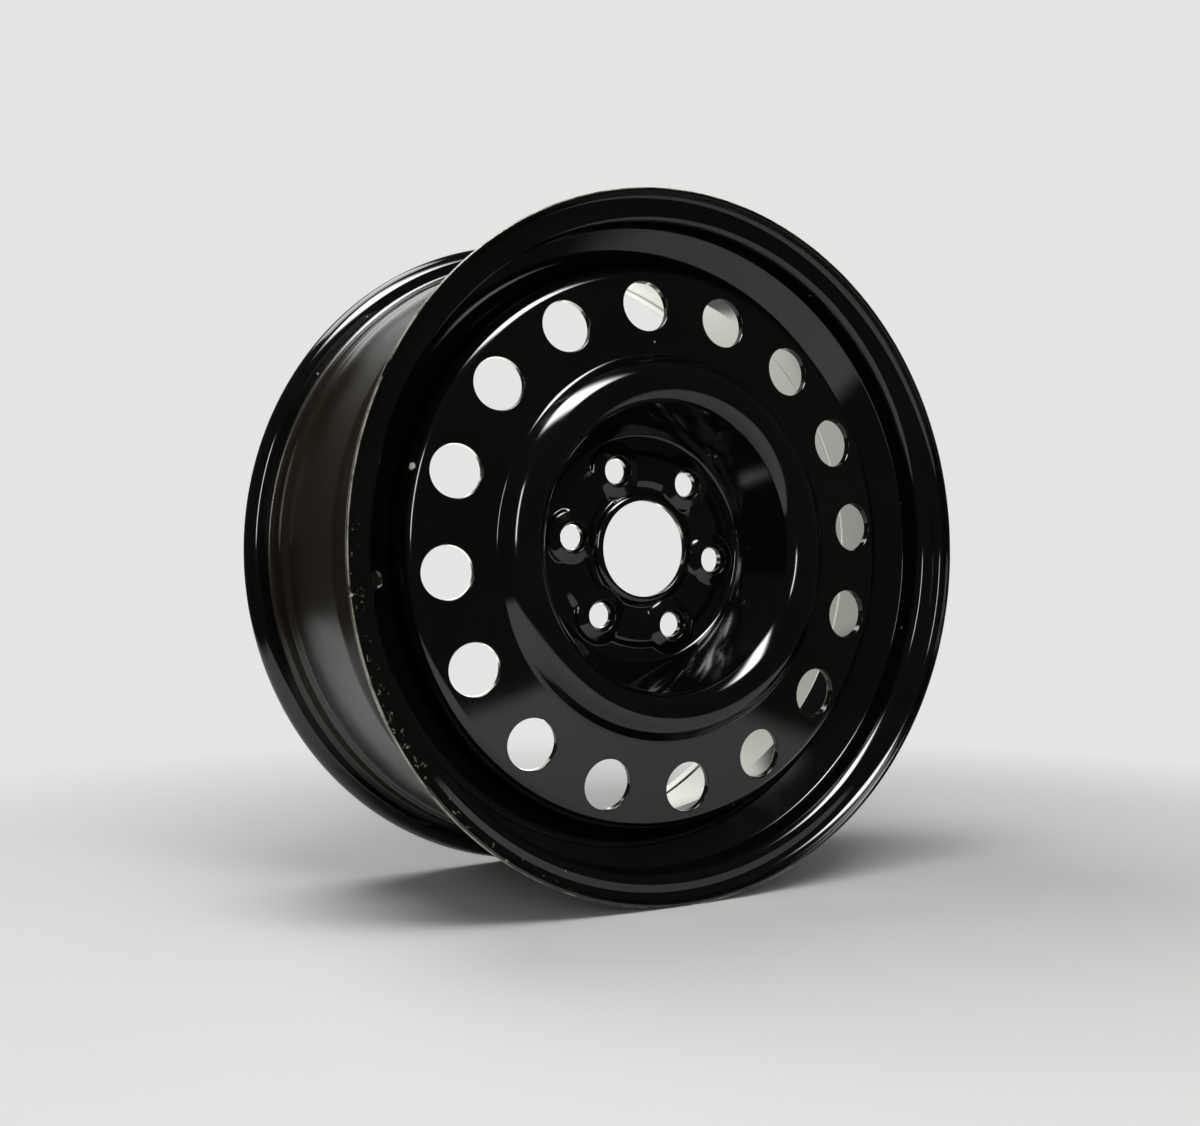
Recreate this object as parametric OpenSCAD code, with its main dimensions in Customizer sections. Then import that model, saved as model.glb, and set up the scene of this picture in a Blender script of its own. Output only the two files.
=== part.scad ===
// Steel car wheel: a rolled drop-centre rim with a pressed disc seated in its well and welded behind.
// The axis of the wheel lies along Y, the outboard face looks to -Y, and +Z is up.
// The origin is on the axis, midway between the two flange edges.

/* [Rim] */
// Diameter of the bead seats at the flanges
bead_d = 436.6; // [428:0.1:450]
// Width between the two flange walls
rim_w = 177.8; // [160:0.1:230]
// Sheet thickness of the rim
rim_t = 2.8; // [2:0.1:3.5]
// Height of the flange above the bead seat
flange_h = 17.3; // [16.5:0.1:20]
// Reach of the flange lip past the flange wall
flange_reach = 11; // [10.5:0.1:14]
// Radius of the flange curl on the tyre side
flange_curl_r = 9.5; // [6:0.1:10]
// Radius of the heel between bead seat and flange wall
heel_r = 5; // [3:0.1:6.5]
// Width of the bead seat from the flange wall to the hump
seat_w = 13.5; // [12:0.1:18]
// Taper of the bead seat
seat_taper = 5; // [3:0.5:7]
// Height of the hump that keeps the bead on its seat
hump_h = 0.9; // [0.5:0.1:1.5]
// Width of each flank of the hump
hump_w = 4.5; // [4:0.1:6]
// Radius of the bends on the hump
hump_r = 4.5; // [4:0.1:5]
// Diameter of the ledge at the foot of the rear hump
ledge_d = 430; // [416:0.5:432]
// Taper of the ledge towards the well
ledge_taper = 2; // [0:0.5:3]
// Width of the flat floor of the well
well_w = 16; // [12:0.5:30]
// Slope of the well's outboard side, from the axis
well_front_slope = 55; // [45:1:60]
// Slope of the well's inboard side, from the axis
well_rear_slope = 50; // [35:1:60]
// Radius of the bends along the well
well_r = 8; // [5:0.5:10]

/* [Disc] */
// Diameter of the disc skirt, which is also the inside of the well
disc_d = 380; // [370:0.5:386]
// Sheet thickness of the disc
disc_t = 5; // [4:0.1:5.4]
// Offset of the mounting face, outboard of the middle of the rim
wheel_offset = 40; // [36:0.5:46]
// Diameter at which the bowl wall would meet the hub pad
bowl_d = 157; // [155:0.5:165]
// Slope of the bowl wall, from the axis
bowl_slope = 25.8; // [20:0.1:27]
// Radius at the bottom of the bowl
bowl_r = 3.5; // [2:0.5:6]
// Rise of the crown above the hub pad
crown_rise = 47.5; // [44:0.5:49]
// Fall of the crown from its inner to its outer shoulder
crown_fall = 1; // [0.5:0.1:2]
// Diameter of the crown's outer shoulder
crown_d = 240.8; // [236:0.1:244]
// Radius of the crown's two shoulders
crown_r = 17; // [8:0.5:18]
// Drop from the crown's outer shoulder to its foot
crown_drop = 11; // [9:0.5:12]
// Diameter of the foot of the crown
foot_d = 259; // [256:0.5:264]
// Radius at the foot of the crown
foot_r = 4; // [3:0.5:7]
// Backward slope of the hand-hole band
band_slope = 6.8; // [4:0.1:9]
// Radius of the bend from the band into the skirt
skirt_r = 10; // [7:0.5:11]

/* [Hand holes] */
// Number of hand holes
hand_count = 16; // [8:1:18]
// Diameter of the circle that the hand holes lie on
hand_circle_d = 324.6; // [318:0.1:328]
// Diameter of a hand hole
hand_d = 34; // [20:0.5:38]
// Width of the coined edge round a hand hole
hand_coin = 0.8; // [0.4:0.1:1.2]
// Angle of the first hand hole
hand_turn = 5.65; // [0:0.05:22.5]

/* [Hub] */
// Diameter of the centre bore
bore_d = 66.1; // [60:0.1:67]
// Rise of the lip round the bore
lip_rise = 4; // [2:0.1:4.2]
// Rise of the pressed ring that carries the nut seats
ring_rise = 2.2; // [1.5:0.1:2.8]
// Diameter of the bolt circle
bolt_circle_d = 114.3; // [110:0.1:118]
// Number of wheel nuts
nut_count = 6; // [4:1:6]
// Diameter of a stud hole
stud_hole_d = 17; // [14:0.1:18.5]
// Diameter of the mouth of a nut seat
nut_seat_d = 21; // [20:0.1:23]
// Angle between opposite sides of a nut seat
nut_seat_angle = 60; // [60:1:90]
// Rise of a nut boss above the hub pad
boss_rise = 5; // [4:0.1:5.5]
// Width of the land round the mouth of a nut seat
boss_land = 0.7; // [0.6:0.1:1.2]
// Width of the flank of a nut boss, down to the pressed ring
boss_flank = 6.6; // [5:0.1:7]
// Radius of the shoulder of a nut boss
boss_r = 2; // [1:0.1:2.5]
// Angle of the first stud hole
nut_turn = 52.5; // [0:0.1:90]

/* [Valve hole] */
// Diameter of the valve hole
valve_d = 11.3; // [8:0.1:12]

/* [Welds] */
// Number of weld beads between the skirt and the well
weld_count = 8; // [4:1:12]
// Angle that one weld bead spans
weld_span = 26; // [10:1:28]
// Leg of a weld bead
weld_leg = 4; // [2.5:0.1:4]
// Bulge of the weld bead's face
weld_bulge = 0.6; // [0.3:0.1:0.8]

/* [Hidden] */
$fn = 192;
// Turn between two neighbouring points of a bend
bend_step = 6;
// Length that cutting bodies stand past what they cut
past = 1;
// Clear floor of the well past the weld beads
weld_margin = 0.5;

// Heights are measured outboard from the middle of the rim
wall_h = rim_w / 2;
edge_h = wall_h + flange_reach;
bead_r = bead_d / 2;
lip_r = bead_r + flange_h;
seat_end_r = bead_r - seat_w * tan(seat_taper);
hump_top_r = seat_end_r + hump_h;
hump_start_h = wall_h - seat_w;
hump_top_h = hump_start_h - hump_w;
disc_r = disc_d / 2;
floor_r = disc_r + rim_t;
ledge_r = ledge_d / 2;
well_front_h = hump_top_h - (hump_top_r - floor_r) / tan(well_front_slope);
well_front_bend = well_r * tan(well_front_slope / 2);
well_rear_bend = well_r * tan(well_rear_slope / 2);
well_rear_h = well_front_h - well_front_bend - well_w - well_rear_bend;
well_end_h = well_rear_h + well_rear_bend;
ledge_foot_h = hump_w - hump_top_h;
// Where the well's inboard side, rising inboard, meets the tapered ledge
ledge_front_h = (floor_r - ledge_r + well_rear_h * tan(well_rear_slope) - ledge_foot_h * tan(ledge_taper))
    / (tan(well_rear_slope) - tan(ledge_taper));
ledge_front_r = ledge_r - (ledge_front_h - ledge_foot_h) * tan(ledge_taper);

// The hub pad is the front of the sheet whose back is the mounting face
pad_h = wheel_offset + disc_t;
skirt_end_h = well_end_h + weld_leg + weld_margin;
bore_r = bore_d / 2;
bowl_top_r = bowl_d / 2 + crown_rise * tan(bowl_slope);
// The two shoulders of the crown share its top
crown_top_w = crown_d / 2 - bowl_top_r;
crown_tilt = atan(crown_fall / crown_top_w);
crown_flank = atan(2 * crown_drop / (foot_d - crown_d));
crown_bend = tan((90 - bowl_slope + crown_tilt) / 2) + tan((crown_flank - crown_tilt) / 2);
crown_bend_r = min(crown_r, norm([crown_top_w, crown_fall]) / crown_bend);
crown_out_h = crown_rise - crown_fall;
foot_h = crown_out_h - crown_drop;
band_edge_h = foot_h - (disc_r - foot_d / 2) * tan(band_slope);
hand_h = pad_h + foot_h - (hand_circle_d - foot_d) / 2 * tan(band_slope);

// The pressed ring is placed from the bore outward and ends round the nut bosses
lip_top_w = 3.4;
lip_flank_w = 3.6;
lip_valley_w = 2.6;
ring_in_w = 4.5;
ring_half_w = 6.3;
ring_out_w = 5;
ring_foot_r = bore_r + lip_top_w + lip_flank_w + lip_valley_w;
ring_in_r = ring_foot_r + ring_in_w;
ring_out_r = bolt_circle_d / 2 + ring_half_w;
valley_out_r = ring_out_r + ring_out_w;
press_r = disc_t + 1;
valley_r = 3;
// Length that the bend of the outer valley takes, and what is left for the bend at the bottom of the bowl
valley_bend = valley_r * tan(atan(ring_rise / ring_out_w) / 2);
bowl_room = bowl_d / 2 - valley_out_r - valley_bend;
bowl_bend_r = min(bowl_r, bowl_room / tan((90 - bowl_slope) / 2));

valve_turn = hand_turn + round((180 - hand_turn) * hand_count / 360) * 360 / hand_count;

function unit(v) = v / norm(v);
function left_of(v) = [-v[1], v[0]];
function turned(v, a) = [v[0] * cos(a) - v[1] * sin(a), v[0] * sin(a) + v[1] * cos(a)];

// Points and left normals along the rounded corner at b, between a and c
function bend(a, b, c, r) =
    let (
        u = unit(b - a),
        w = unit(c - b),
        turn = atan2(u[0] * w[1] - u[1] * w[0], u * w),
        side = sign(turn),
        centre = b - u * r * tan(abs(turn) / 2) + left_of(u) * side * r,
        steps = max(1, ceil(abs(turn) / bend_step))
    )
    [for (k = [0 : steps]) let (n = turned(left_of(u), turn * k / steps)) [centre - n * side * r, n]];

// Points and left normals along a route of [radius, height, bend radius] corners
function along(route) =
    let (
        last = len(route) - 1,
        p = [for (q = route) [q[0], q[1]]]
    )
    [
        [p[0], left_of(unit(p[1] - p[0]))],
        for (k = [1 : last - 1]) each bend(p[k - 1], p[k], p[k + 1], route[k][2]),
        [p[last], left_of(unit(p[last] - p[last - 1]))]
    ];

// Outline of a sheet of thickness t on the right of a route
function sheet(route, t) =
    let (line = along(route))
    concat([for (q = line) q[0]], [for (k = [len(line) - 1 : -1 : 0]) line[k][0] - t * line[k][1]]);

// Corners of the rim on the tyre side, from the outboard lip to the inboard lip
rim_route = [
    [lip_r, edge_h, 0],
    [lip_r, wall_h, flange_curl_r],
    [bead_r, wall_h, heel_r],
    [seat_end_r, hump_start_h, hump_r],
    [hump_top_r, hump_top_h, hump_r],
    [floor_r, well_front_h, well_r],
    [floor_r, well_rear_h, well_r],
    [ledge_front_r, ledge_front_h, well_r],
    [ledge_r, ledge_foot_h, hump_r],
    [hump_top_r, -hump_top_h, hump_r],
    [seat_end_r, -hump_start_h, hump_r],
    [bead_r, -wall_h, heel_r],
    [lip_r, -wall_h, flange_curl_r],
    [lip_r, -edge_h, 0]
];

// Corners of the disc on its front, from the bore to the end of the skirt, above the hub pad
disc_route = [
    [bore_r, lip_rise, 0],
    [bore_r + lip_top_w, lip_rise, press_r],
    [bore_r + lip_top_w + lip_flank_w, 0, valley_r],
    [ring_foot_r, 0, valley_r],
    [ring_in_r, ring_rise, press_r],
    [ring_out_r, ring_rise, press_r],
    [valley_out_r, 0, valley_r],
    [bowl_d / 2, 0, bowl_bend_r],
    [bowl_top_r, crown_rise, crown_bend_r],
    [crown_d / 2, crown_out_h, crown_bend_r],
    [foot_d / 2, foot_h, foot_r],
    [disc_r, band_edge_h, skirt_r],
    [disc_r, skirt_end_h - pad_h, 0]
];

// Turns a shape made with its axis along Z onto the wheel's axis, outboard to -Y
module on_axis() {
    rotate([90, 0, 0]) children();
}

// Copies a shape round the axis
module around(count, first) {
    for (k = [0 : count - 1]) rotate(first + k * 360 / count) children();
}

// Cut through the hand-hole band, square to its slope, with its coined edge
module hand_hole() {
    hand_r = hand_d / 2;
    translate([hand_circle_d / 2, 0, hand_h])
        rotate([0, band_slope, 0])
        rotate_extrude()
        polygon([
            [0, -disc_t - past],
            [hand_r, -disc_t - past],
            [hand_r, -hand_coin],
            [hand_r + hand_coin + past, past],
            [0, past]
        ]);
}

// Raised boss round a stud hole, rooted in the middle of the sheet
module nut_boss() {
    root = -disc_t / 3;
    top_r = nut_seat_d / 2 + boss_land;
    foot_r = top_r + boss_flank;
    root_r = foot_r + ring_rise - root;
    route = [
        [0, boss_rise, 0],
        [top_r, boss_rise, boss_r],
        [foot_r, ring_rise, boss_r],
        [root_r, root, 0]
    ];
    translate([bolt_circle_d / 2, 0, pad_h])
        rotate_extrude()
        polygon(concat([for (q = along(route)) q[0]], [[0, root]]));
}

// Stud hole with its conical nut seat
module stud_hole() {
    seat_slope = tan(nut_seat_angle / 2);
    seat_depth = (nut_seat_d - stud_hole_d) / 2 / seat_slope;
    through = boss_rise + disc_t + past;
    translate([bolt_circle_d / 2, 0, pad_h + boss_rise])
        rotate_extrude()
        polygon([
            [0, -through],
            [stud_hole_d / 2, -through],
            [stud_hole_d / 2, -seat_depth],
            [nut_seat_d / 2 + past * seat_slope, past],
            [0, past]
        ]);
}

// Cut through the outboard side of the well, square to its slope
module valve_hole() {
    reach = rim_t + well_r;
    rotate(valve_turn)
        translate([(hump_top_r + floor_r) / 2, 0, (hump_top_h + well_front_h) / 2])
        rotate([0, well_front_slope - 90, 0])
        translate([0, 0, -reach])
        cylinder(d = valve_d, h = 2 * reach);
}

module rim() {
    color("#16161a")
        on_axis()
        difference() {
            rotate_extrude() polygon(sheet(rim_route, rim_t));
            valve_hole();
        }
}

module disc() {
    color("#1d1d21")
        on_axis()
        difference() {
            union() {
                translate([0, 0, pad_h]) rotate_extrude() polygon(sheet(disc_route, disc_t));
                around(nut_count, nut_turn) nut_boss();
            }
            around(hand_count, hand_turn) hand_hole();
            around(nut_count, nut_turn) stud_hole();
        }
}

// Fillet welds in the corner between the end of the skirt and the floor of the well
module weld_beads() {
    crest = weld_leg / 2 + weld_bulge / sqrt(2);
    color("#2a2a2d")
        on_axis()
        around(weld_count, hand_turn)
        rotate_extrude(angle = weld_span)
        polygon([
            [disc_r, skirt_end_h],
            [disc_r - weld_leg, skirt_end_h],
            [disc_r - crest, skirt_end_h - crest],
            [disc_r, skirt_end_h - weld_leg]
        ]);
}

rim();
disc();
weld_beads();
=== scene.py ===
"""Looks of a pressed steel car wheel in gloss black paint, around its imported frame."""
import math

import bpy
import numpy as np
from mathutils import Matrix, Vector
from mathutils.geometry import delaunay_2d_cdt


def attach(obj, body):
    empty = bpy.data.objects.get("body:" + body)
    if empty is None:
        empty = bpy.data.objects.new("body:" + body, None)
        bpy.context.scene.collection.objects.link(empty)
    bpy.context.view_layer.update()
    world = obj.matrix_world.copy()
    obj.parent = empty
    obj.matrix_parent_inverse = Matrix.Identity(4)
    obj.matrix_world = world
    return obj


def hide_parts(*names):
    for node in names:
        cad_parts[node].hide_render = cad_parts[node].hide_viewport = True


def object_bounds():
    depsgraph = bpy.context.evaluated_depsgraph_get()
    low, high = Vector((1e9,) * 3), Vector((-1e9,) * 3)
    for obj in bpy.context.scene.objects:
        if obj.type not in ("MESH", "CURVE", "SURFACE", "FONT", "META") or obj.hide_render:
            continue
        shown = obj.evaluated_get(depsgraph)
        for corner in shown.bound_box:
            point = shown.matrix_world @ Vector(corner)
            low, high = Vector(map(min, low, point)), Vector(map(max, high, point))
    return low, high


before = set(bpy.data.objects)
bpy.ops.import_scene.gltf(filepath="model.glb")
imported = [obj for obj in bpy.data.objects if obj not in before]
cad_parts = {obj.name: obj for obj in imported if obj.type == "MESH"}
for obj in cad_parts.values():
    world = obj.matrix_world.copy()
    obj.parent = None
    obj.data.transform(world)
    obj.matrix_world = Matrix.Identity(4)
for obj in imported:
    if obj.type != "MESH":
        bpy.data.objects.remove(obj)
cad_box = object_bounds()

# Sizes of the wheel in millimetres, as the solids have them
MM = 0.001
RIM_T, DISC_T = 2.8, 5.0
BEAD_R, WALL_H, EDGE_H, FLANGE_H = 218.3, 88.9, 99.9, 17.3
LIP_R = BEAD_R + FLANGE_H
SEAT_W, SEAT_TAPER = 13.5, 5.0
HUMP_H, HUMP_W, HUMP_R = 0.9, 4.5, 4.5
CURL_R, HEEL_R = 9.5, 5.0
LEDGE_R, LEDGE_TAPER = 215.0, 2.0
WELL_W, WELL_R, FRONT_SLOPE, REAR_SLOPE = 16.0, 8.0, 55.0, 50.0
DISC_R, PAD_H = 190.0, 45.0
BOWL_R, BOWL_SLOPE, BOWL_BEND = 78.5, 25.8, 3.5
CROWN_RISE, CROWN_FALL, CROWN_R, CROWN_DROP, CROWN_BEND = 47.5, 1.0, 120.4, 11.0, 17.0
FOOT_R, FOOT_BEND, BAND_SLOPE, SKIRT_BEND = 129.5, 4.0, 6.8, 10.0
HAND_COUNT, HAND_CIRCLE_R, HAND_R, HAND_TURN = 16, 162.3, 17.0, 5.65
BORE_R, LIP_RISE, LIP_W, LIP_FLANK = 33.05, 4.0, 3.4, 3.6
RING_RISE, RING_GAP, RING_FLANK, RING_REACH, RING_FALL = 2.2, 2.6, 4.5, 6.3, 5.0
TOP_BEND, GROOVE_BEND = DISC_T + 1, 3.0
NUT_COUNT, NUT_CIRCLE_R, NUT_TURN = 6, 57.15, 52.5
STUD_R, SEAT_R, SEAT_ANGLE, SEAT_EDGE, STUD_BEND = 8.5, 10.5, 30.0, 0.4, 1.0
BOSS_RISE, BOSS_LAND, BOSS_FLANK, BOSS_R, BOSS_BLEND = 5.0, 0.7, 6.6, 2.0, 0.9
VALVE_R, VALVE_TURN = 5.65, 185.65
WELD_COUNT, WELD_SPAN, WELD_LEG, WELD_GAP = 8, 26.0, 4.0, 0.5

# Radii of worked edges
RIM_EDGE, DISC_EDGE, HAND_EDGE, BACK_EDGE = 0.7, 0.9, 0.8, 0.6

# Fineness of the meshes
SEG = 288
RIM_STEP, DISC_STEP, FINE_STEP, BOSS_STEP, STUD_STEP = 6.0, 5.0, 0.5, 1.0, 15.0
STUD_SIDES, HAND_SIDES, VALVE_SIDES, VALVE_COLUMNS = 72, 96, 48, 14
WELD_STEPS, WELD_ACROSS = 150, 10
EDGE_STEPS = 4
BORDER_GAP = 0.35


# Profiles of sheets, as points (radius, height) with normals
def tan(a):
    return math.tan(math.radians(a))


def unit(v):
    return v / np.linalg.norm(v)


def left_of(v):
    return np.array([-v[1], v[0]])


def turned(v, a):
    c, s = math.cos(a), math.sin(a)
    return np.array([v[0] * c - v[1] * s, v[0] * s + v[1] * c])


def bend(a, b, c, r, step):
    """Points and left normals along the rounded corner at b, between a and c."""
    u, w = unit(b - a), unit(c - b)
    turn = math.atan2(u[0] * w[1] - u[1] * w[0], u @ w)
    side = math.copysign(1, turn)
    centre = b - u * r * math.tan(abs(turn) / 2) + left_of(u) * side * r
    steps = max(2, math.ceil(math.degrees(abs(turn)) / step))
    made = []
    for k in range(steps + 1):
        n = turned(left_of(u), turn * k / steps)
        made.append((centre - n * side * r, n))
    return made


def along(route, step):
    """Points and left normals along a route of (radius, height, bend radius) corners."""
    p = [np.array(q[:2], float) for q in route]
    made = [(p[0], left_of(unit(p[1] - p[0])))]
    for k in range(1, len(p) - 1):
        made += bend(p[k - 1], p[k], p[k + 1], route[k][2], step)
    made.append((p[-1], left_of(unit(p[-1] - p[-2]))))
    return made


def sheet_end(p, n, outward, t, e):
    """Rounded end of a sheet, from its front round to its back."""
    corners = ((p - e * outward - e * n, n, outward), (p - e * outward - (t - e) * n, outward, -n))
    made = []
    for centre, a, b in corners:
        for k in range(EDGE_STEPS + 1):
            w = math.radians(90 * k / EDGE_STEPS)
            m = math.cos(w) * a + math.sin(w) * b
            made.append((centre + e * m, m))
    return made


# Meshes
class Skin:
    """Vertices with their own normals, and faces, in millimetres."""

    def __init__(self):
        self.v, self.n, self.f, self.count = [], [], [], 0

    def add(self, points, normals):
        points = np.asarray(points, float).reshape(-1, 3)
        self.v.append(points)
        self.n.append(np.asarray(normals, float).reshape(-1, 3))
        first = self.count
        self.count += len(points)
        return np.arange(first, self.count)

    def loops(self, a, b, gap=()):
        """Quads between two closed rows, apart from the columns in gap."""
        m = len(a)
        for j in range(m):
            if j not in gap:
                k = (j + 1) % m
                self.f.append((a[j], a[k], b[k], b[j]))

    def chain(self, rows):
        for a, b in zip(rows, rows[1:]):
            self.loops(a, b)

    def make(self, name, material):
        """A mesh object in metres whose faces look along their normals."""
        v, n = np.concatenate(self.v), np.concatenate(self.n)
        n /= np.linalg.norm(n, axis=1)[:, None]
        faces = []
        for f in self.f:
            f = [int(i) for i in f]
            q = v[f]
            g = np.cross(q[1] - q[0], q[2] - q[0])
            if len(f) == 4:
                g = np.cross(q[2] - q[0], q[3] - q[1])
            faces.append(f if g @ n[f].sum(0) > 0 else f[::-1])
        mesh = bpy.data.meshes.new(name)
        mesh.from_pydata((v * MM).tolist(), [], faces)
        mesh.validate()
        mesh.shade_smooth()
        mesh.normals_split_custom_set_from_vertices(n.tolist())
        mesh.materials.append(material)
        obj = bpy.data.objects.new(name, mesh)
        bpy.context.scene.collection.objects.link(obj)
        return obj


PHI = np.arange(SEG) * 2 * math.pi / SEG
COS, SIN = np.cos(PHI), np.sin(PHI)
OUT = np.array([0.0, -1.0, 0.0])


def spoke(degrees):
    """Directions away from the wheel's axis and round it, at an angle."""
    t = math.radians(degrees)
    return np.array([math.cos(t), 0, math.sin(t)]), np.array([-math.sin(t), 0, math.cos(t)])


def row(skin, p, n):
    """One turn of a profile point round the wheel's axis."""
    one = np.ones(SEG)
    return skin.add(
        np.stack([p[0] * COS, -p[1] * one, p[0] * SIN], 1),
        np.stack([n[0] * COS, -n[1] * one, n[0] * SIN], 1),
    )


def edge_rows(skin, loop, normals, inward, e):
    """Rows of a rounded edge from a surface loop down into a hole, without the loop itself."""
    rows = []
    for k in range(1, EDGE_STEPS + 1):
        w = math.radians(90 * (1 - k / EDGE_STEPS))
        m = math.sin(w) * normals + math.cos(w) * inward
        rows.append(skin.add(loop - e * normals + e * m, m))
    return rows


def fill(points, fixed, loops):
    """Triangles over flat points, kept clear of closed loops that bound a hole or the inside."""
    edges = [(int(a[i]), int(a[(i + 1) % len(a)])) for a in fixed for i in range(len(a))]
    done = delaunay_2d_cdt([Vector(p) for p in points.tolist()], edges, [], 0, 1e-7, True)
    back = [ids[0] for ids in done[3]]
    owner = np.full(len(points), -1)
    for k, a in enumerate(loops):
        owner[a] = k
    made = []
    for f in done[2]:
        f = [back[i] for i in f]
        k = owner[f[0]]
        if k >= 0 and all(owner[i] == k for i in f):
            continue
        made.append(f)
    return made


# Faces of the disc as heights over a flat plan
def heights(base_r, base_h, boss=None):
    """Height above the middle of the rim, by place on the wheel's face, with softly joined bosses."""

    def at(x, z):
        h = np.interp(np.hypot(x, z), base_r, base_h)
        if boss is not None:
            rho = np.min([np.hypot(x - cx, z - cz) for cx, cz in NUTS], axis=0)
            b = np.interp(rho, *boss)
            soft = np.maximum(BOSS_BLEND - np.abs(h - b), 0) / BOSS_BLEND
            h = np.maximum(h, b) + soft * soft * BOSS_BLEND / 4
        return h

    return at


def lifted(skin, at, flat, side):
    """Adds flat points at their height, with the slope's own normals."""
    x, z, d = flat[:, 0], flat[:, 1], 0.03
    gx = (at(x + d, z) - at(x - d, z)) / (2 * d)
    gz = (at(x, z + d) - at(x, z - d)) / (2 * d)
    normals = np.stack([-gx, -np.ones(len(x)), -gz], 1) * side
    return skin.add(np.stack([x, -at(x, z), z], 1), normals)


def ring_points(cx, cz, rho, count, start=0.0):
    a = start + np.arange(count) * 2 * math.pi / count
    return np.stack([cx + rho * np.cos(a), cz + rho * np.sin(a)], 1)


def staggered_rings(cx, cz, radii, count):
    return [ring_points(cx, cz, rho, count, (k % 2) * math.pi / count) for k, rho in enumerate(radii)]


def face_zone(skin, at, side, inner, outer, grid_r, holes, clear):
    """Fills a face between two borders, round holes that bring rings of points of their own."""
    points, ids, marks, total = [], [], [], 0
    for flat, skin_ids, *_ in [inner, outer] + holes:
        points.append(flat)
        ids.append(skin_ids)
        marks.append(np.arange(total, total + len(flat)))
        total += len(flat)
    extra = [ring for _, _, rings in holes for ring in rings]
    centres = np.array([flat.mean(0) for flat, _, _ in holes])
    for p in staggered_rings(0, 0, grid_r, SEG):
        away = np.hypot(p[:, None, 0] - centres[None, :, 0], p[:, None, 1] - centres[None, :, 1]).min(1)
        extra.append(p[away > clear])
    extra = np.concatenate(extra)
    r = np.hypot(extra[:, 0], extra[:, 1])
    r_in, r_out = np.hypot(*inner[0][0]), np.hypot(*outer[0][0])
    extra = extra[(r > r_in + BORDER_GAP) & (r < r_out - BORDER_GAP)]
    points.append(extra)
    ids.append(lifted(skin, at, extra, side))
    ids = np.concatenate(ids)
    for f in fill(np.concatenate(points), marks, marks[:1] + marks[2:]):
        skin.f.append(tuple(ids[i] for i in f))


# Rim: one closed profile turned round the axis, with the valve hole through the well's outboard side
seat_end_r = BEAD_R - SEAT_W * tan(SEAT_TAPER)
hump_top_r, hump_top_h = seat_end_r + HUMP_H, WALL_H - SEAT_W - HUMP_W
floor_r = DISC_R + RIM_T
well_front_h = hump_top_h - (hump_top_r - floor_r) / tan(FRONT_SLOPE)
well_rear_h = well_front_h - WELL_R * tan(FRONT_SLOPE / 2) - WELL_W - WELL_R * tan(REAR_SLOPE / 2)
well_end_h = well_rear_h + WELL_R * tan(REAR_SLOPE / 2)
ledge_foot_h = HUMP_W - hump_top_h
ledge_front_h = (floor_r - LEDGE_R + well_rear_h * tan(REAR_SLOPE) - ledge_foot_h * tan(LEDGE_TAPER)) / (
    tan(REAR_SLOPE) - tan(LEDGE_TAPER)
)
ledge_front_r = LEDGE_R - (ledge_front_h - ledge_foot_h) * tan(LEDGE_TAPER)
RIM_ROUTE = [
    (LIP_R, EDGE_H, 0),
    (LIP_R, WALL_H, CURL_R),
    (BEAD_R, WALL_H, HEEL_R),
    (seat_end_r, WALL_H - SEAT_W, HUMP_R),
    (hump_top_r, hump_top_h, HUMP_R),
    (floor_r, well_front_h, WELL_R),
    (floor_r, well_rear_h, WELL_R),
    (ledge_front_r, ledge_front_h, WELL_R),
    (LEDGE_R, ledge_foot_h, HUMP_R),
    (hump_top_r, -hump_top_h, HUMP_R),
    (seat_end_r, SEAT_W - WALL_H, HUMP_R),
    (BEAD_R, -WALL_H, HEEL_R),
    (LIP_R, -WALL_H, CURL_R),
    (LIP_R, -EDGE_H, 0),
]
SIDE_FALL = 8.0


def well_sides(profile):
    """The long steps of a closed profile that are the two faces of the well's outboard side."""
    found = []
    for k, (p, _) in enumerate(profile):
        q, _ = profile[(k + 1) % len(profile)]
        if abs(q[0] - p[0]) > SIDE_FALL and min(p[1], q[1]) > well_rear_h:
            found.append(k)
    return found


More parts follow.
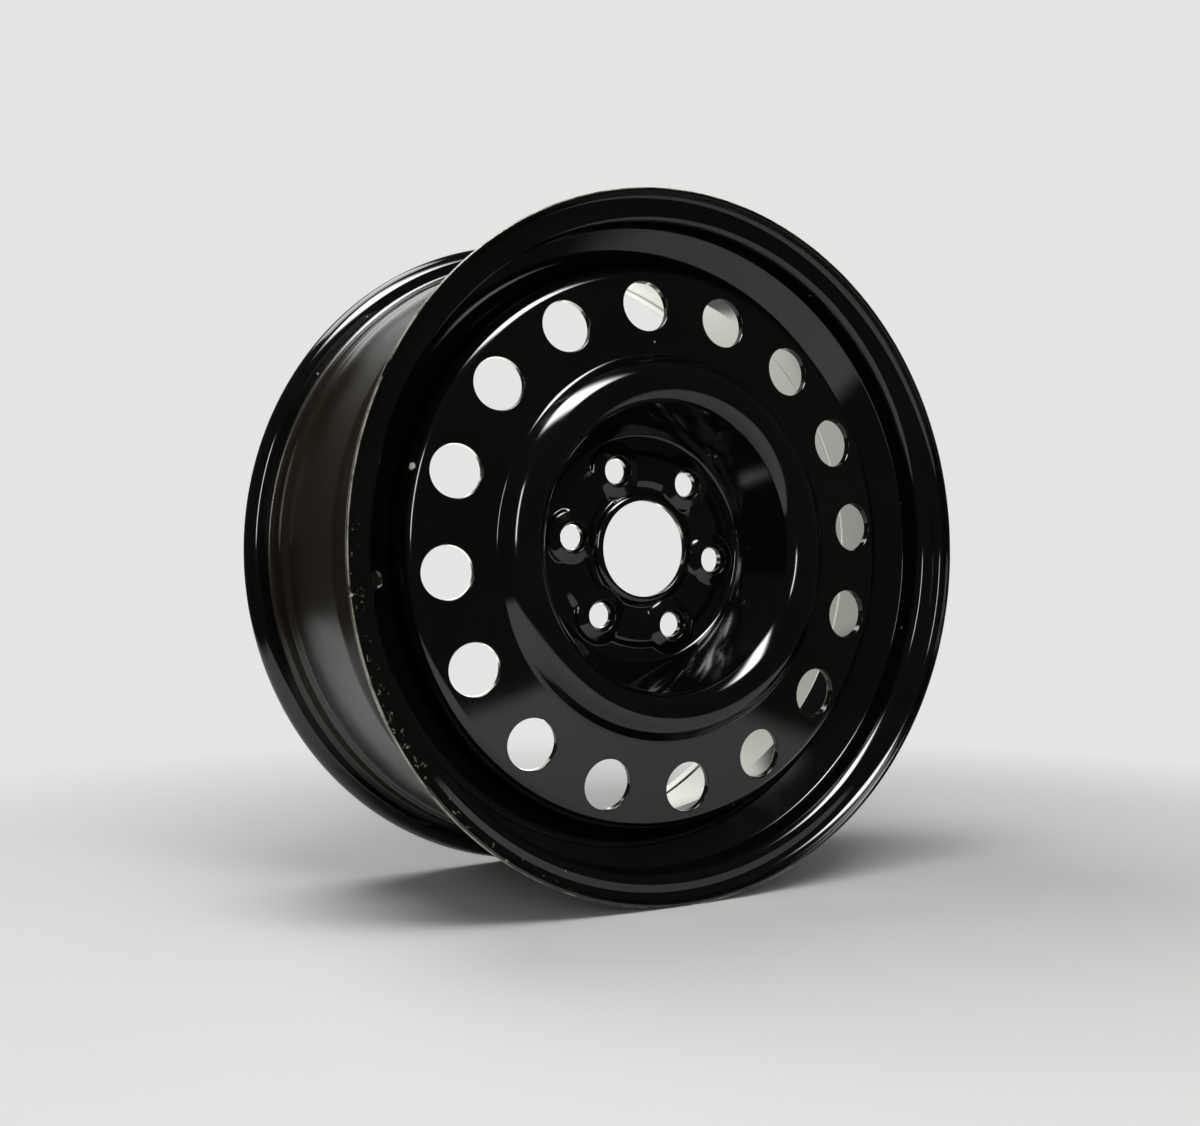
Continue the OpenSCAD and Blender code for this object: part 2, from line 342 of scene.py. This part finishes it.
def valve_wall(skin, profile, rows, k, columns):
    """Fills one face of the well's side round the valve hole, and gives the rows of the hole's edge."""
    (p0, n0), (p1, _) = profile[k], profile[(k + 1) % len(profile)]
    u, length = unit(p1 - p0), np.linalg.norm(p1 - p0)
    er, et = spoke(VALVE_TURN)
    turn, slope = math.radians(VALVE_TURN), math.radians(FRONT_SLOPE)
    middle = er * (hump_top_r + floor_r) / 2 + OUT * (hump_top_h + well_front_h) / 2
    axis = math.sin(slope) * OUT - math.cos(slope) * er
    up_slope = np.cross(et, axis)

    def from_turn(theta):
        return (theta - turn + math.pi) % (2 * math.pi) - math.pi

    def on_sheet(x):
        """Angle and way along the face at a point, with the face's own point and normal there."""
        theta = math.atan2(x[2], x[0])
        w = (np.array([math.hypot(x[0], x[2]), -x[1]]) - p0) @ u
        p = p0 + u * w
        c, s = math.cos(theta), math.sin(theta)
        return theta, w, np.array([p[0] * c, -p[1], p[0] * s]), np.array([n0[0] * c, -n0[1], n0[0] * s])

    flat, points, normals, inward = [], [], [], []
    for m in range(VALVE_SIDES):
        psi = 2 * math.pi * m / VALVE_SIDES
        away = math.cos(psi) * et + math.sin(psi) * up_slope
        x = middle + (VALVE_R + BACK_EDGE) * away
        for _ in range(12):
            _, _, q, qn = on_sheet(x)
            x = x + axis * ((q - x) @ qn) / (axis @ qn)
        theta, w, q, qn = on_sheet(x)
        flat.append((from_turn(theta), w))
        points.append(q)
        normals.append(qn)
        inward.append(-away)
    points, normals, inward = map(np.array, (points, normals, inward))
    ids = skin.add(points, normals)
    span = [from_turn(PHI[j]) for j in columns]
    border = [(t, 0.0) for t in span] + [(t, length) for t in span[::-1]]
    border_ids = [rows[k][j] for j in columns] + [rows[(k + 1) % len(rows)][j] for j in columns[::-1]]
    plan = np.array(border + flat) * np.array([p0[0], 1.0])
    edge, hole = np.arange(len(border)), len(border) + np.arange(VALVE_SIDES)
    joined = np.concatenate([border_ids, ids])
    for f in fill(plan, [edge, hole], [hole]):
        skin.f.append(tuple(joined[i] for i in f))
    return [ids] + edge_rows(skin, points, normals, inward, BACK_EDGE)


def build_rim(material):
    skin = Skin()
    line = along(RIM_ROUTE, RIM_STEP)
    outward = np.array([0.0, 1.0])
    front_end = sheet_end(*line[0], outward, RIM_T, RIM_EDGE)
    rear_end = sheet_end(*line[-1], -outward, RIM_T, RIM_EDGE)
    tyre_side = line[1:-1]
    inside = [(p - RIM_T * n, -n) for p, n in tyre_side]
    profile = front_end[::-1] + tyre_side + rear_end + inside[::-1]
    rows = [row(skin, p, n) for p, n in profile]
    pierced = well_sides(profile)
    first = round(VALVE_TURN / 360 * SEG) - VALVE_COLUMNS // 2
    columns = [(first + k) % SEG for k in range(VALVE_COLUMNS + 1)]
    for k in range(len(rows)):
        skin.loops(rows[k], rows[(k + 1) % len(rows)], columns[:-1] if k in pierced else ())
    walls = [valve_wall(skin, profile, rows, k, columns) for k in pierced]
    for rounded in walls:
        skin.chain(rounded)
    skin.loops(walls[0][-1], walls[1][-1])
    return skin.make("rim_skin", material)


# Disc: turned bowl, crown and skirt, with filled faces round the stud holes and the hand holes
NUTS = ring_points(0, 0, NUT_CIRCLE_R, NUT_COUNT, math.radians(NUT_TURN))
bowl_top_r = BOWL_R + CROWN_RISE * tan(BOWL_SLOPE)
foot_h = CROWN_RISE - CROWN_FALL - CROWN_DROP
band_edge_h = foot_h - (DISC_R - FOOT_R) * tan(BAND_SLOPE)
skirt_end_h = well_end_h + WELD_LEG + WELD_GAP
lip_foot_r = BORE_R + LIP_W + LIP_FLANK
ring_foot_r = lip_foot_r + RING_GAP
ring_edge_r = NUT_CIRCLE_R + RING_REACH
# Heights of the disc's corners count from the hub pad
DISC_CORNERS = [
    (BORE_R, LIP_RISE, 0),
    (BORE_R + LIP_W, LIP_RISE, TOP_BEND),
    (lip_foot_r, 0, GROOVE_BEND),
    (ring_foot_r, 0, GROOVE_BEND),
    (ring_foot_r + RING_FLANK, RING_RISE, TOP_BEND),
    (ring_edge_r, RING_RISE, TOP_BEND),
    (ring_edge_r + RING_FALL, 0, GROOVE_BEND),
    (BOWL_R, 0, BOWL_BEND),
    (bowl_top_r, CROWN_RISE, CROWN_BEND),
    (CROWN_R, CROWN_RISE - CROWN_FALL, CROWN_BEND),
    (FOOT_R, foot_h, FOOT_BEND),
    (DISC_R, band_edge_h, SKIRT_BEND),
    (DISC_R, skirt_end_h - PAD_H, 0),
]
DISC_ROUTE = [(r, h + PAD_H, b) for r, h, b in DISC_CORNERS]
HUB_IN_R, HUB_OUT_R = BORE_R + 2.55, BOWL_R + 0.7
LAND_R = SEAT_R + 0.27
# Radii of the rows of points on the faces, and how far the rows stay from a hole's middle
STUD_RINGS, STUD_CLEAR = np.arange(11.1, 21.0, 0.65), 20.9
STUD_BACK_RINGS, STUD_BACK_CLEAR = (10.2, 11.6, 13.2), 14.2
HUB_GRID = np.concatenate([np.arange(36.2, BOWL_R - 2.5, 0.8), np.arange(BOWL_R - 2.3, HUB_OUT_R, 0.35)])
HUB_BACK_GRID = np.concatenate([np.arange(37.0, BOWL_R - 2, 1.8), np.arange(BOWL_R - 1.6, BOWL_R + 5, 0.8)])
HAND_RINGS, HAND_CLEAR = (HAND_R + 1.6, HAND_R + 2.8, HAND_R + 5.0), HAND_R + 6.5
BAND_STEP, BAND_END = 4.0, 1.0


def boss_profile():
    """Radii and heights of a nut boss, from its middle down into the sheet."""
    top = SEAT_R + BOSS_LAND
    foot = top + BOSS_FLANK
    sunk = RING_RISE + DISC_T / 3
    route = [
        (0, BOSS_RISE, 0),
        (top, BOSS_RISE, BOSS_R),
        (foot, RING_RISE, BOSS_R),
        (foot + sunk, RING_RISE - sunk, 0),
    ]
    line = along(route, BOSS_STEP)
    return np.array([p[0] for p, _ in line]), np.array([p[1] + PAD_H for p, _ in line])


def stud_profile():
    """Land, conical seat and stud hole, from the boss's land down to the back edge."""
    top = PAD_H + BOSS_RISE
    seat_foot_h = top - (SEAT_R - STUD_R) / tan(SEAT_ANGLE)
    back_h = PAD_H - DISC_T + RING_RISE + BACK_EDGE
    route = [
        (LAND_R, top, 0),
        (SEAT_R, top, SEAT_EDGE),
        (STUD_R, seat_foot_h, STUD_BEND),
        (STUD_R, back_h, 0),
    ]
    return [(p, -n) for p, n in along(route, STUD_STEP)[1:-1]]


def hub_faces(skin, front_borders, back_borders):
    """Front and back of the hub, with the bosses, their conical seats and the stud holes."""
    fine = along(DISC_ROUTE, FINE_STEP)
    front_line = np.array([p for p, _ in fine])
    back_line = np.array([p - DISC_T * n for p, n in fine])
    back_line = back_line[np.argsort(back_line[:, 0], kind="stable")]
    front_at, back_at = heights(*front_line.T, boss_profile()), heights(*back_line.T)
    away = np.insert(ring_points(0, 0, 1, STUD_SIDES), 1, 0, axis=1)
    front_holes, back_holes = [], []
    for cx, cz in NUTS:
        flat = ring_points(cx, cz, LAND_R, STUD_SIDES)
        land = lifted(skin, front_at, flat, 1)
        front_holes.append((flat, land, staggered_rings(cx, cz, STUD_RINGS, STUD_SIDES)))
        walls = []
        for p, n in stud_profile():
            walls.append(skin.add((cx, -p[1], cz) + p[0] * away, n[0] * away + n[1] * OUT))
        flat = ring_points(cx, cz, STUD_R + BACK_EDGE, STUD_SIDES)
        rear = lifted(skin, back_at, flat, -1)
        back_holes.append((flat, rear, staggered_rings(cx, cz, STUD_BACK_RINGS, STUD_SIDES)))
        normals = skin.n[-1] / np.linalg.norm(skin.n[-1], axis=1)[:, None]
        rounded = edge_rows(skin, skin.v[-1], normals, -away, BACK_EDGE)
        skin.chain([land] + walls + rounded[::-1] + [rear])
    face_zone(skin, front_at, 1, *front_borders, HUB_GRID, front_holes, STUD_CLEAR)
    face_zone(skin, back_at, -1, *back_borders, HUB_BACK_GRID, back_holes, STUD_BACK_CLEAR)


def band_faces(skin, front_borders, back_borders):
    """Front and back of the sloped band, with the hand holes and their rounded edges."""
    slope = math.radians(BAND_SLOPE)
    across = np.array([FOOT_R, DISC_R])
    front_h = PAD_H + foot_h - (across - FOOT_R) * tan(BAND_SLOPE)
    hand_h = np.interp(HAND_CIRCLE_R, across, front_h)
    a = np.arange(HAND_SIDES) * 2 * math.pi / HAND_SIDES
    at = {1: heights(across, front_h), -1: heights(across, front_h - DISC_T / math.cos(slope))}
    holes = {1: [], -1: []}
    for k in range(HAND_COUNT):
        er, et = spoke(HAND_TURN + 360 / HAND_COUNT * k)
        axis = math.sin(slope) * er + math.cos(slope) * OUT
        down = math.cos(slope) * er - math.sin(slope) * OUT
        away = np.cos(a)[:, None] * down + np.sin(a)[:, None] * et
        middle = HAND_CIRCLE_R * er + hand_h * OUT
        edges = {}
        for side, e in ((1, HAND_EDGE), (-1, BACK_EDGE)):

            def loop_at(rho):
                x = middle + rho * away
                for _ in range(6):
                    above = -x[:, 1] - at[side](x[:, 0], x[:, 2])
                    x = x - above[:, None] * axis * math.cos(slope)
                return x

            loop = loop_at(HAND_R + e)
            flat = loop[:, [0, 2]]
            ids = lifted(skin, at[side], flat, side)
            normals = skin.n[-1] / np.linalg.norm(skin.n[-1], axis=1)[:, None]
            rings = [loop_at(rho)[:, [0, 2]] for rho in HAND_RINGS]
            holes[side].append((flat, ids, rings))
            edges[side] = [ids] + edge_rows(skin, loop, normals, -away, e)
        skin.chain(edges[1] + edges[-1][::-1])
    r_in, r_out = (np.hypot(*flat[0]) for flat, _ in front_borders)
    grid = np.arange(r_in + BAND_STEP, r_out - BAND_END, BAND_STEP)
    for side, borders in ((1, front_borders), (-1, back_borders)):
        face_zone(skin, at[side], side, *borders, grid, holes[side], HAND_CLEAR)


def build_disc(material):
    skin = Skin()
    line = along(DISC_ROUTE, DISC_STEP)
    body = line[1:-1]
    radii = np.array([p[0] for p, _ in body])
    hub = int(np.argmax(radii > HUB_IN_R)), int(np.argmax(radii > HUB_OUT_R))
    band_in = int(np.argmax(np.diff(radii) > 30))
    band = band_in, band_in + 1

    def border(rows, k, side):
        """Flat points and skin row of one turn of the sheet."""
        p, n = body[k]
        r = (p if side > 0 else p - DISC_T * n)[0]
        return np.stack([r * COS, r * SIN], 1), rows[k]

    sides = {}
    for side in (1, -1):
        rows = {}
        for k, (p, n) in enumerate(body):
            if not hub[0] < k < hub[1]:
                rows[k] = row(skin, p if side > 0 else p - DISC_T * n, n * side)
        for k in rows:
            if k + 1 in rows and k != band_in:
                skin.loops(rows[k], rows[k + 1])
        sides[side] = rows
    for k, corner, outward in ((0, line[0], (-1.0, 0.0)), (len(body) - 1, line[-1], (0.0, -1.0))):
        rounded = [row(skin, p, n) for p, n in sheet_end(*corner, np.array(outward), DISC_T, DISC_EDGE)]
        skin.chain([sides[1][k]] + rounded + [sides[-1][k]])
    for fill_faces, ends in ((hub_faces, hub), (band_faces, band)):
        fill_faces(skin, *([border(sides[side], k, side) for k in ends] for side in (1, -1)))
    return skin.make("disc_skin", material)


# Welds: rippled fillet beads in the corner between the skirt's end and the well
BEAD_CROWN, RIPPLE_H, RIPPLE_PITCH, RIPPLE_LAG = 0.55, 0.16, 2.4, 0.35
ROOT_SINK, TOE_SINK, FACE_TURN = 0.25, 0.2, 38
END_SIZE, END_SHARPNESS, RISE_EACH_WAY = 0.1, 14, 0.7


def weld_section(u, degrees):
    """Points and normals across a bead, u of its way along, at an angle."""
    er, _ = spoke(degrees)
    grown = END_SIZE + (1 - END_SIZE) * math.sqrt(max(0.0, 1 - abs(2 * u - 1) ** END_SHARPNESS))
    ripple = math.radians(WELD_SPAN) * DISC_R * u / RIPPLE_PITCH
    points, normals = [], []
    for m in range(WELD_ACROSS + 1):
        w = m / WELD_ACROSS
        bulge = math.sin(math.pi * w)
        rise = BEAD_CROWN + RIPPLE_H * math.sin(2 * math.pi * (ripple - RIPPLE_LAG * bulge))
        raised = rise * bulge * grown * RISE_EACH_WAY
        r = DISC_R - WELD_LEG * grown * (1 - w) - raised
        h = skirt_end_h - WELD_LEG * grown * w - raised
        points.append(min(r, DISC_R + TOE_SINK) * er + h * OUT)
        tilt = math.radians(45 + FACE_TURN * (1 - 2 * w))
        normals.append(-math.cos(tilt) * er - math.sin(tilt) * OUT)
    points.append((DISC_R + ROOT_SINK) * er + (skirt_end_h + ROOT_SINK) * OUT)
    normals.append(er + OUT)
    return points, normals


def build_welds(material):
    skin = Skin()
    for k in range(WELD_COUNT):
        rows = []
        for i in range(WELD_STEPS + 1):
            u = i / WELD_STEPS
            rows.append(skin.add(*weld_section(u, HAND_TURN + 360 / WELD_COUNT * k + WELD_SPAN * u)))
        skin.chain(rows)
        skin.f.append(tuple(rows[0]))
        skin.f.append(tuple(rows[-1]))
    return skin.make("weld_skin", material)


# Shader nodes
def node(tree, kind, **values):
    made = tree.nodes.new(kind)
    for key, value in values.items():
        setattr(made, key, value)
    return made


def link(tree, a, b):
    tree.links.new(a, b)


def math_node(tree, operation, a, b=None, clamp=False):
    made = node(tree, "ShaderNodeMath", operation=operation, use_clamp=clamp)
    for k, value in enumerate((a, b)):
        if isinstance(value, (int, float)):
            made.inputs[k].default_value = value
        elif value is not None:
            link(tree, value, made.inputs[k])
    return made.outputs[0]


def product(tree, first, *others):
    for other in others:
        first = math_node(tree, "MULTIPLY", first, other)
    return first


def highest(tree, first, *others):
    for other in others:
        first = math_node(tree, "MAXIMUM", first, other)
    return first


def vector_node(tree, operation, a, b=None):
    made = node(tree, "ShaderNodeVectorMath", operation=operation)
    for k, value in enumerate((a, b)):
        if isinstance(value, tuple):
            made.inputs[k].default_value = value
        elif value is not None:
            link(tree, value, made.inputs[k])
    return made.outputs["Vector" if operation == "NORMALIZE" else "Value"]


def ramp(tree, value, low, high, to_low=0.0, to_high=1.0, smooth=True):
    made = node(tree, "ShaderNodeMapRange", interpolation_type="SMOOTHSTEP" if smooth else "LINEAR")
    link(tree, value, made.inputs["Value"])
    for key, v in (("From Min", low), ("From Max", high), ("To Min", to_low), ("To Max", to_high)):
        made.inputs[key].default_value = v
    return made.outputs["Result"]


def mm_ramp(tree, value, low, high):
    return ramp(tree, value, low * MM, high * MM)


def noise(tree, vector, scale, detail=3.0, rough=0.5):
    made = node(tree, "ShaderNodeTexNoise")
    made.inputs["Scale"].default_value = scale
    made.inputs["Detail"].default_value = detail
    made.inputs["Roughness"].default_value = rough
    link(tree, vector, made.inputs["Vector"])
    return made.outputs["Fac"]


def mix_colour(tree, factor, a, b):
    made = node(tree, "ShaderNodeMix", data_type="RGBA")
    link(tree, factor, made.inputs[0])
    for key, value in ((6, a), (7, b)):
        if isinstance(value, tuple):
            made.inputs[key].default_value = (*value, 1.0)
        else:
            link(tree, value, made.inputs[key])
    return made.outputs[2]


def bump(tree, height, strength, distance):
    made = node(tree, "ShaderNodeBump")
    made.inputs["Strength"].default_value = strength
    made.inputs["Distance"].default_value = distance
    link(tree, height, made.inputs["Height"])
    return made


# Paint
BLACK, WELD_BLACK = (0.0014, 0.0014, 0.0014), (0.004, 0.004, 0.0042)
CLOUDED = 1.9
DUST, BARE = (0.36, 0.35, 0.32), (0.55, 0.54, 0.5)
# The tyre side's brownish colour is a painted reflection of brownish surroundings.
WORN, TYRE_SIDE_REFLECTION_TINT = (0.40, 0.375, 0.30), (0.018, 0.0135, 0.007)
CHIP_AT, CHIP_SIZE = (-0.182, -0.0697, 0.0494), 0.0042
WAVE_HEIGHT, PEEL_HEIGHT, PEEL_DEPTH = 0.0009, 0.00006, 0.1
COAT_SPECULAR, COAT_IOR = 0.72, 1.5


def specks(tree, place):
    """1 on small specks of dust, in patches."""
    field = node(tree, "ShaderNodeTexVoronoi", feature="F1")
    field.inputs["Scale"].default_value = 95.0
    link(tree, place, field.inputs["Vector"])
    size = ramp(tree, noise(tree, place, 31.0, 2.0), 0.56, 0.74, 0.0, 0.085)
    return math_node(tree, "LESS_THAN", field.outputs["Distance"], size)


def bare_chip(tree, place):
    """1 on one ragged chip at a known place."""
    ragged = product(tree, noise(tree, place, 700.0, 3.0, 0.6), CHIP_SIZE)
    return math_node(tree, "LESS_THAN", vector_node(tree, "DISTANCE", place, CHIP_AT), ragged)


def rim_wear_and_tint_masks(tree, place):
    """Masks of the lip's wear and of the tyre side: duller, with a painted brownish reflection tint."""
    split = node(tree, "ShaderNodeSeparateXYZ")
    link(tree, place, split.inputs[0])
    flat_place = node(tree, "ShaderNodeCombineXYZ")
    for axis in "XZ":
        link(tree, split.outputs[axis], flat_place.inputs[axis])
    radius = vector_node(tree, "LENGTH", flat_place.outputs[0])
    out = product(tree, split.outputs["Y"], -1.0)
    left = ramp(tree, split.outputs["X"], -0.05, -0.2)
    edge = product(
        tree,
        mm_ramp(tree, radius, LIP_R - 1.1, LIP_R - 0.2),
        mm_ramp(tree, out, EDGE_H - 1.1, EDGE_H - 0.2),
    )
    patchy = math_node(tree, "ADD", noise(tree, place, 34.0, 6.0, 0.7), product(tree, left, 0.07))
    line = product(tree, edge, ramp(tree, patchy, 0.44, 0.64))
    lip = product(
        tree,
        mm_ramp(tree, radius, BEAD_R + 4.2, BEAD_R + 10.2),
        mm_ramp(tree, out, WALL_H + 0.6, WALL_H + 5.6),
    )
    low = ramp(tree, split.outputs["Z"], 0.04, 0.0)
    chips = product(tree, ramp(tree, noise(tree, place, 190.0, 5.0, 0.72), 0.605, 0.65), lip, left, low)
    from_axis = vector_node(tree, "NORMALIZE", flat_place.outputs[0])
    normal = node(tree, "ShaderNodeNewGeometry").outputs["Normal"]
    facing = ramp(tree, vector_node(tree, "DOT_PRODUCT", from_axis, normal), 0.1, 0.4)
    tyre_side = product(tree, facing, mm_ramp(tree, radius, BEAD_R + 7.2, BEAD_R + 3.2))
    return highest(tree, line, chips), tyre_side


def gloss_paint(name, black, gloss, wave_depth, wear_and_painted_tint=False, chipped=False):
    """Thick gloss black paint, orange peel and dust; where asked, rim wear and painted reflection tint, or a
    bare chip.
    """
    material = bpy.data.materials.new(name)
    material.use_nodes = True
    tree = material.node_tree
    shader = tree.nodes["Principled BSDF"]
    place = node(tree, "ShaderNodeTexCoord").outputs["Object"]
    cloud = ramp(tree, noise(tree, place, 9.0, 4.0, 0.6), 0.3, 0.7)
    shade = mix_colour(tree, cloud, black, tuple(CLOUDED * c for c in black))
    rough = ramp(tree, noise(tree, place, 26.0, 5.0, 0.6), 0.3, 0.75, *gloss)
    wave = bump(tree, noise(tree, place, 22.0, 2.0, 0.4), wave_depth, WAVE_HEIGHT)

    def cover(mask, colour, cover_part, rougher):
        """Paint with a colour, and more roughness, where the mask is 1."""
        mixed = mix_colour(tree, product(tree, mask, cover_part), shade, colour)
        return mixed, math_node(tree, "ADD", rough, product(tree, mask, rougher), True)

    shade, rough = cover(specks(tree, place), DUST, 0.55, 0.4)
    if chipped:
        shade, rough = cover(bare_chip(tree, place), BARE, 1.0, 0.4)
    if wear_and_painted_tint:
        wear, tyre_side = rim_wear_and_tint_masks(tree, place)
        dull = ramp(tree, noise(tree, place, 12.0, 4.0, 0.6), 0.25, 0.75, 0.12, 0.2)
        # The tyre side gets more roughness, and a brownish tint that is a painted reflection.
        shade, rough = cover(tyre_side, TYRE_SIDE_REFLECTION_TINT, 0.6, dull)
        shade, rough = cover(wear, WORN, 1.0, 0.3)
        calmer = ramp(tree, tyre_side, 0.0, 1.0, wave_depth, 0.2 * wave_depth, smooth=False)
        link(tree, calmer, wave.inputs["Strength"])
    peel = bump(tree, noise(tree, place, 420.0, 2.0, 0.45), PEEL_DEPTH, PEEL_HEIGHT)
    link(tree, wave.outputs["Normal"], peel.inputs["Normal"])
    link(tree, shade, shader.inputs["Base Color"])
    link(tree, rough, shader.inputs["Roughness"])
    link(tree, peel.outputs["Normal"], shader.inputs["Normal"])
    shader.inputs["Specular IOR Level"].default_value = COAT_SPECULAR
    shader.inputs["IOR"].default_value = COAT_IOR
    return material


# Pieces, each in place of its solid
rim_paint = gloss_paint("rim_paint_gloss", BLACK, (0.04, 0.09), 0.1, wear_and_painted_tint=True)
disc_paint = gloss_paint("disc_paint_gloss", BLACK, (0.06, 0.11), 0.05, chipped=True)
weld_paint = gloss_paint("weld_paint_gloss", WELD_BLACK, (0.05, 0.1), 0.15)
for piece, cad, slot in (
    (build_rim(rim_paint), "rim", "rim_paint"),
    (build_disc(disc_paint), "disc", "disc_paint"),
    (build_welds(weld_paint), "weld_beads", "weld_paint"),
):
    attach(piece, "root")
    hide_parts(cad)

# Camera at the photograph's place
CAMERA_AT = Vector((-0.536554, -0.893778, -0.016886))
LOOK = Vector((0.509642, 0.860357, 0.007134))
RIGHT = Vector((0.860387, -0.509625, -0.004226))
scene = bpy.context.scene
camera = bpy.data.objects.new("camera", bpy.data.cameras.new("camera"))
scene.collection.objects.link(camera)
camera_turn = Matrix((RIGHT, RIGHT.cross(LOOK), -LOOK)).transposed()
camera.matrix_world = Matrix.Translation(CAMERA_AT) @ camera_turn.to_4x4()
camera.data.sensor_width = 36.0
camera.data.lens = 43.603
camera.data.clip_start = 0.01
camera.data.dof.use_dof = False
scene.camera = camera

# Background, floor and lamps, in metres
PALE, DIM, WORLD_LIGHT = (0.78, 0.78, 0.77), (0.042, 0.038, 0.031), 0.25
SHOWN_TO = "Camera", "Glossy", "Transmission"
FLOOR_LOW, FLOOR_HIGH = (0.64, 0.64, 0.63), (0.68, 0.68, 0.67)
FLOOR_FADE = 0.32, 0.95
BACK, ASIDE, LEFT = (LOOK.x, LOOK.y, 0.0), (RIGHT.x, RIGHT.y, 0.0), (-1.0, 0.0, 0.0)
SHEET_EDGES = ((BACK, -0.50, -0.58), (ASIDE, 0.48, 0.62), (LEFT, 0.50, 0.64))


def backdrop(tree, direction):
    """Pale for the camera; in reflections pale behind the wheel and a dim room in front of it."""
    behind = ramp(tree, vector_node(tree, "DOT_PRODUCT", direction, BACK), 0.64, 0.9)
    mirrored = mix_colour(tree, behind, DIM, PALE)
    return mix_colour(tree, node(tree, "ShaderNodeLightPath").outputs["Is Camera Ray"], mirrored, PALE)


def build_world():
    """Even soft light, and the backdrop for camera, glossy and transmission rays."""
    world = bpy.data.worlds.new("studio")
    scene.world = world
    world.use_nodes = True
    tree = world.node_tree
    tree.nodes.clear()
    soft, seen = (node(tree, "ShaderNodeBackground") for _ in range(2))
    soft.inputs["Color"].default_value = (1, 1, 1, 1)
    soft.inputs["Strength"].default_value = WORLD_LIGHT
    link(tree, backdrop(tree, node(tree, "ShaderNodeTexCoord").outputs["Generated"]), seen.inputs["Color"])
    path = node(tree, "ShaderNodeLightPath")
    shown = highest(tree, *(path.outputs[f"Is {kind} Ray"] for kind in SHOWN_TO))
    both = node(tree, "ShaderNodeMixShader")
    for k, socket in enumerate((shown, soft.outputs[0], seen.outputs[0])):
        link(tree, socket, both.inputs[k])
    link(tree, both.outputs[0], node(tree, "ShaderNodeOutputWorld").inputs[0])


def floor_material():
    """Matt pale paint that fades into the backdrop and, in reflections, ends at three edges."""
    material = bpy.data.materials.new("pale_floor")
    material.use_nodes = True
    tree = material.node_tree
    matt = tree.nodes["Principled BSDF"]
    matt.inputs["Roughness"].default_value = 0.9
    matt.inputs["Specular IOR Level"].default_value = 0.0
    place = node(tree, "ShaderNodeTexCoord").outputs["Object"]
    tone = mix_colour(tree, noise(tree, place, 3.0, 4.0), FLOOR_LOW, FLOOR_HIGH)
    link(tree, tone, matt.inputs["Base Color"])
    glow = node(tree, "ShaderNodeEmission")
    link(tree, backdrop(tree, vector_node(tree, "NORMALIZE", place)), glow.inputs["Color"])
    far = ramp(tree, vector_node(tree, "LENGTH", place), *FLOOR_FADE)
    past = [ramp(tree, vector_node(tree, "DOT_PRODUCT", place, way), *span) for way, *span in SHEET_EDGES]
    path = node(tree, "ShaderNodeLightPath")
    fade = highest(
        tree,
        product(tree, far, path.outputs["Is Camera Ray"]),
        product(tree, highest(tree, *past), path.outputs["Is Glossy Ray"]),
    )
    blend = node(tree, "ShaderNodeMixShader")
    for k, socket in enumerate((fade, matt.outputs[0], glow.outputs[0])):
        link(tree, socket, blend.inputs[k])
    link(tree, blend.outputs[0], tree.nodes["Material Output"].inputs["Surface"])
    return material


build_world()
bpy.ops.mesh.primitive_circle_add(vertices=96, radius=40, fill_type="NGON", location=(0, 0, cad_box[0].z))
floor = bpy.context.object
floor.name = "floor"
floor.data.materials.append(floor_material())


def softbox(name, place, aim, along, size, radiance, fade, tint=(1.0, 1.0, 1.0)):
    """A rectangular lamp that faces aim, its first side turned along a direction, and fades to its edges."""
    lamp = bpy.data.lights.new(name, "AREA")
    lamp.shape = "RECTANGLE"
    lamp.size, lamp.size_y = size
    lamp.energy = radiance * math.pi * size[0] * size[1]
    lamp.color = tint
    lamp.use_nodes = True
    tree = lamp.node_tree
    split = node(tree, "ShaderNodeSeparateXYZ")
    link(tree, node(tree, "ShaderNodeNewGeometry").outputs["Parametric"], split.inputs[0])
    levels = []
    for axis, length in zip("XY", size):
        from_middle = math_node(tree, "ABSOLUTE", math_node(tree, "SUBTRACT", split.outputs[axis], 0.5))
        levels.append(ramp(tree, from_middle, 0.5, 0.5 - fade / length))
    link(tree, product(tree, *levels), tree.nodes["Emission"].inputs["Strength"])
    obj = bpy.data.objects.new(name, lamp)
    scene.collection.objects.link(obj)
    away = (place - aim).normalized()
    up = away.cross(Vector(along)).normalized()
    obj.matrix_world = Matrix.Translation(place) @ Matrix((up.cross(away), up, away)).transposed().to_4x4()
    obj.visible_camera = False
    return obj


DOWN, OUTBOARD, ACROSS = Vector((0.0, 0.0, -1.0)), Vector((0.0, -1.0, 0.0)), (1.0, 0.0, 0.0)
FRONT_AT, FRONT_ALONG = Vector((-0.214, -0.746, 1.15)), (0.655, -0.755, 0.0)
MIDDLE_AT, BLUISH = FRONT_AT + 0.01 * DOWN, (0.95, 0.98, 1.0)
BACK_AT = Vector((-0.38, 0.56, 1.15))
WINDOW_AT, WINDOW_ALONG = Vector((-0.95, -1.29, 0.35)), (0.83, -0.56, 0.0)
WINDOW_AIM = Vector((-0.1, -0.08, 0.02))
CARD_AT, CREAM = Vector((0.0, 0.36, -0.03)), (1.0, 1.0, 0.9)
softbox("front_box", FRONT_AT, FRONT_AT + DOWN, FRONT_ALONG, (1.45, 0.87), 7.4, 0.3)
middle = softbox("front_middle", MIDDLE_AT, FRONT_AT + DOWN, FRONT_ALONG, (1.3, 0.72), 13.0, 0.25, BLUISH)
softbox("back_box", BACK_AT, BACK_AT + DOWN, ACROSS, (0.8, 1.03), 4.7, 0.1)
softbox("window", WINDOW_AT, WINDOW_AIM, WINDOW_ALONG, (0.22, 0.66), 16.0, 0.11)
card = softbox("rear_card", CARD_AT, CARD_AT + OUTBOARD, ACROSS, (0.44, 0.4), 3.6, 0.04, CREAM)
# These two show in the gloss only, so that they don't bleach the floor
for lamp in (middle, card):
    lamp.visible_diffuse = False

scene.view_settings.view_transform = "Standard"
